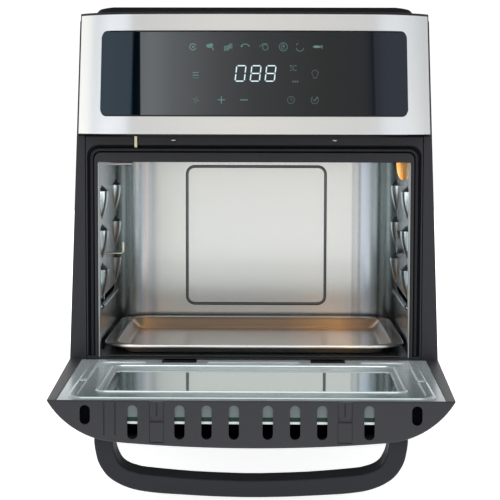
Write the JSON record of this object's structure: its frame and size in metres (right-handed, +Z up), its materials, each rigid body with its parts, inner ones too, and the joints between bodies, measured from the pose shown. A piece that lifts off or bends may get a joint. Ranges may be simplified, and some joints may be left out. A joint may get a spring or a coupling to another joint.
{
  "type": "air fryer oven",
  "caption": "Countertop air-fryer oven with a tapered charcoal body, a bowed steel fascia with a black touch panel, and a drop-down windowed door with a U handle, shown open.",
  "frame": {"origin": "centre of the whole object's box in X and Y with the door open, on the table in Z", "axes": "+X to the viewer's right, +Y to the oven's back, +Z up"},
  "size_m": [0.334, 0.4976, 0.397],
  "materials": {
    "charcoal": "fine satin grain",
    "handle_charcoal": "satin",
    "gloss_black": "polished",
    "black_trim": "matte",
    "silicone": "soft matte",
    "rubber_black": "matte",
    "fascia_steel": "fine vertical brushing",
    "cavity_steel": "bright rolled sheet",
    "tray_steel": "satin sheet",
    "door_sheet": "bright sheet with pressed beads",
    "zinc_sheet": "zinc-plated",
    "hinge_steel": "satin black",
    "screw_steel": "plated",
    "brass_pale": "drawn wire",
    "element_sheath": "heat-darkened",
    "fan_aluminium": "stamped",
    "motor_iron": "laminated",
    "panel_glass": "black glass",
    "window_glass": "clear, greenish at the edge",
    "lamp_glass": "frosted",
    "lamp_glow": "lit",
    "ceramic_white": "unglazed",
    "display": "dark filter",
    "circuit_green": "solder mask",
    "circuit_brown": "phenolic board",
    "switch_cream": "moulded",
    "seal_white": "felted"
  },
  "bodies": {
    "oven": {"outer_shell": "charcoal", "base_plate": "zinc_sheet", "foot_front_left": "rubber_black", "foot_front_right": "rubber_black", "foot_rear_left": "rubber_black", "foot_rear_right": "rubber_black", "rear_cover": "charcoal", "cord_gland": "rubber_black", "rear_screws": "screw_steel", "top_cover": "gloss_black", "front_frame": "charcoal", "door_gasket": "silicone", "front_bulkhead": "zinc_sheet", "fascia": "fascia_steel", "fascia_trim": "black_trim", "fascia_carrier": "black_trim", "control_glass": "panel_glass", "display_module": "display", "touch_board": "circuit_green", "touch_springs": "brass_pale", "cavity_wrap": "cavity_steel", "cavity_floor": "cavity_steel", "cavity_top": "cavity_steel", "fan_guard": "cavity_steel", "heating_element": "element_sheath", "element_clips": "zinc_sheet", "rotisserie_support": "brass_pale", "rotisserie_motor": "zinc_sheet", "lamp_lens": "lamp_glass", "lamp_bulb": "lamp_glow", "lamp_socket": "ceramic_white", "temperature_probe": "screw_steel", "heat_shield": "zinc_sheet", "motor_stator": "motor_iron", "motor_bracket": "zinc_sheet", "fan_shroud": "black_trim", "power_board": "circuit_brown", "door_switch": "switch_cream", "magnet_studs": "screw_steel", "hinge_bracket_left": "hinge_steel", "hinge_bracket_right": "hinge_steel"},
    "door": {"door_frame": "charcoal", "door_inner_panel": "door_sheet", "door_inner_glass": "window_glass", "door_middle_glass": "window_glass", "door_glass_seal": "seal_white", "door_outer_window": "panel_glass", "door_catch_left": "black_trim", "door_catch_right": "black_trim", "door_screws": "screw_steel", "door_handle": "handle_charcoal", "hinge_pin_left": "screw_steel", "hinge_pin_right": "screw_steel", "handle_screws": "screw_steel"},
    "fans": {"motor_shaft": "screw_steel", "hot_fan": "fan_aluminium", "cooling_fan": "black_trim"},
    "spit_drive": {"drive_socket": "cavity_steel"},
    "switch": {"switch_lever": "switch_cream"},
    "tray": {"drip_tray": "tray_steel"}
  },
  "joints": [
    {"name": "door_hinge", "type": "hinge", "parent": "oven", "child": "door", "pos_m": [0, -0.0442, 0.076], "axis": [-1, 0, 0], "range_deg": [0, 90]},
    {"name": "tray_slide", "type": "slide", "parent": "oven", "child": "tray", "axis": [0, 1, 0], "range_m": [-0.19, 0]},
    {"name": "fan_spin", "type": "hinge", "parent": "oven", "child": "fans", "pos_m": [0, 0.0878, 0.3], "axis": [0, 0, 1], "continuous": true},
    {"name": "spit_spin", "type": "hinge", "parent": "oven", "child": "spit_drive", "pos_m": [0.14, 0.0628, 0.179], "axis": [1, 0, 0], "continuous": true},
    {"name": "switch_press", "type": "slide", "parent": "oven", "child": "switch", "axis": [0, 1, 0], "range_m": [0, 0.0025], "stiffness_N_per_m": 400, "springref_m": -0.001}
  ]
}
